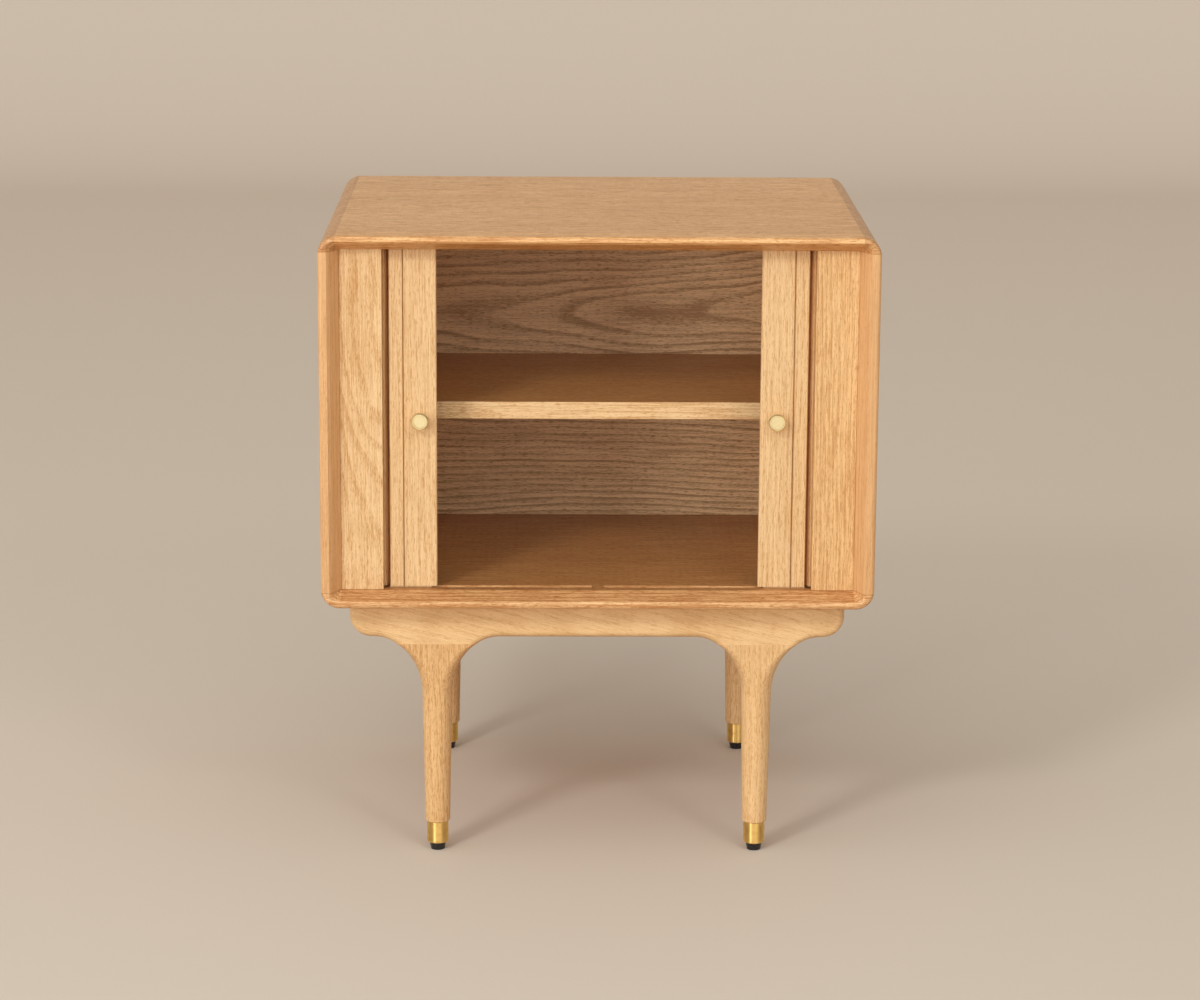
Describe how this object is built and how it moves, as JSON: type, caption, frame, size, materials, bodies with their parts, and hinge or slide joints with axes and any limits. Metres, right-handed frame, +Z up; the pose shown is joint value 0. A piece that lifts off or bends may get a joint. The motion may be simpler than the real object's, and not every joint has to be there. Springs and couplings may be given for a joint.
{
  "type": "nightstand",
  "caption": "Oak bedside cabinet with a pair of sliding tambour doors, an inner shelf and turned legs with brass ferrules.",
  "frame": {"origin": "centre of the footprint, on the floor", "axes": "+Z up, the open front faces -Y, +X to the right seen from the front"},
  "size_m": [0.5, 0.4, 0.58],
  "materials": {
    "oak_case": "satin lacquer",
    "oak_interior": "satin lacquer",
    "oak_door": "satin lacquer",
    "oak_base": "satin lacquer",
    "brass": "satin",
    "steel": "plain",
    "black_rubber": "matte",
    "canvas": "woven"
  },
  "bodies": {
    "cabinet": {"top_panel": "oak_case", "bottom_panel": "oak_case", "left_side_panel": "oak_case", "right_side_panel": "oak_case", "rear_panel": "oak_case", "case_dowels": "oak_case", "back_panel_screws": "steel", "left_stile": "oak_door", "right_stile": "oak_door", "left_liner": "oak_interior", "right_liner": "oak_interior", "inner_back_panel": "oak_interior", "shelf": "oak_interior", "shelf_pins": "brass", "front_apron": "oak_base", "rear_apron": "oak_base", "left_side_rail": "oak_base", "right_side_rail": "oak_base", "rail_dowels": "oak_base", "base_screws": "steel", "front_left_leg": "oak_base", "front_left_ferrule": "brass", "front_left_foot_glide": "black_rubber", "front_right_leg": "oak_base", "front_right_ferrule": "brass", "front_right_foot_glide": "black_rubber", "rear_left_leg": "oak_base", "rear_left_ferrule": "brass", "rear_left_foot_glide": "black_rubber", "rear_right_leg": "oak_base", "rear_right_ferrule": "brass", "rear_right_foot_glide": "black_rubber"},
    "left_door": {"left_lead_slat": "oak_door", "left_slat_2": "oak_door", "left_knob": "brass", "left_knob_screw": "steel"},
    "left_slat_3": {"left_slat_3": "oak_door"},
    "left_slat_4": {"left_slat_4": "oak_door"},
    "left_run": {"left_middle_slats": "oak_door", "left_canvas_backing": "canvas"},
    "left_tail_1": {"left_slat_14": "oak_door"},
    "left_tail_2": {"left_tail_slats": "oak_door"},
    "right_door": {"right_lead_slat": "oak_door", "right_slat_2": "oak_door", "right_knob": "brass", "right_knob_screw": "steel"},
    "right_slat_3": {"right_slat_3": "oak_door"},
    "right_slat_4": {"right_slat_4": "oak_door"},
    "right_run": {"right_middle_slats": "oak_door", "right_canvas_backing": "canvas"},
    "right_tail_1": {"right_slat_14": "oak_door"},
    "right_tail_2": {"right_tail_slats": "oak_door"}
  },
  "joints": [
    {"name": "left_door_slide", "type": "slide", "parent": "cabinet", "child": "left_door", "axis": [1, 0, 0], "range_m": [0, 0.1452], "deforming": ["left_canvas_backing"]},
    {"name": "left_bend_1", "type": "hinge", "parent": "left_door", "child": "left_slat_3", "pos_m": [-0.1887, -0.1675, 0.41], "axis": [0, 0, 1], "range_deg": [0, 30.1]},
    {"name": "left_bend_2", "type": "hinge", "parent": "left_slat_3", "child": "left_slat_4", "pos_m": [-0.20013, -0.1609, 0.41], "axis": [0, 0, 1], "range_deg": [0, 30.1]},
    {"name": "left_bend_3", "type": "hinge", "parent": "left_slat_4", "child": "left_run", "pos_m": [-0.20673, -0.14947, 0.41], "axis": [0, 0, 1], "range_deg": [0, 30.1]},
    {"name": "left_tail_bend_1", "type": "hinge", "parent": "left_run", "child": "left_tail_1", "pos_m": [-0.20673, -0.03067, 0.41], "axis": [0, 0, 1], "range_deg": [-60.1, 0]},
    {"name": "left_tail_bend_2", "type": "hinge", "parent": "left_tail_1", "child": "left_tail_2", "pos_m": [-0.20673, -0.01747, 0.41], "axis": [0, 0, 1], "range_deg": [-30.1, 0]},
    {"name": "right_door_slide", "type": "slide", "parent": "cabinet", "child": "right_door", "axis": [-1, 0, 0], "range_m": [0, 0.1452], "deforming": ["right_canvas_backing"]},
    {"name": "right_bend_1", "type": "hinge", "parent": "right_door", "child": "right_slat_3", "pos_m": [0.1887, -0.1675, 0.41], "axis": [0, 0, 1], "range_deg": [-30.1, 0]},
    {"name": "right_bend_2", "type": "hinge", "parent": "right_slat_3", "child": "right_slat_4", "pos_m": [0.20013, -0.1609, 0.41], "axis": [0, 0, 1], "range_deg": [-30.1, 0]},
    {"name": "right_bend_3", "type": "hinge", "parent": "right_slat_4", "child": "right_run", "pos_m": [0.20673, -0.14947, 0.41], "axis": [0, 0, 1], "range_deg": [-30.1, 0]},
    {"name": "right_tail_bend_1", "type": "hinge", "parent": "right_run", "child": "right_tail_1", "pos_m": [0.20673, -0.03067, 0.41], "axis": [0, 0, 1], "range_deg": [0, 60.1]},
    {"name": "right_tail_bend_2", "type": "hinge", "parent": "right_tail_1", "child": "right_tail_2", "pos_m": [0.20673, -0.01747, 0.41], "axis": [0, 0, 1], "range_deg": [0, 30.1]}
  ],
  "couplings": [
    {"joint": "left_bend_1", "follows": "left_door_slide", "rad_per_m": 3.6061},
    {"joint": "left_bend_2", "follows": "left_door_slide", "rad_per_m": 3.6061},
    {"joint": "left_bend_3", "follows": "left_door_slide", "rad_per_m": 3.6061},
    {"joint": "left_tail_bend_1", "follows": "left_door_slide", "rad_per_m": -7.2121},
    {"joint": "left_tail_bend_2", "follows": "left_door_slide", "rad_per_m": -3.6061},
    {"joint": "right_bend_1", "follows": "right_door_slide", "rad_per_m": -3.6061},
    {"joint": "right_bend_2", "follows": "right_door_slide", "rad_per_m": -3.6061},
    {"joint": "right_bend_3", "follows": "right_door_slide", "rad_per_m": -3.6061},
    {"joint": "right_tail_bend_1", "follows": "right_door_slide", "rad_per_m": 7.2121},
    {"joint": "right_tail_bend_2", "follows": "right_door_slide", "rad_per_m": 3.6061}
  ]
}
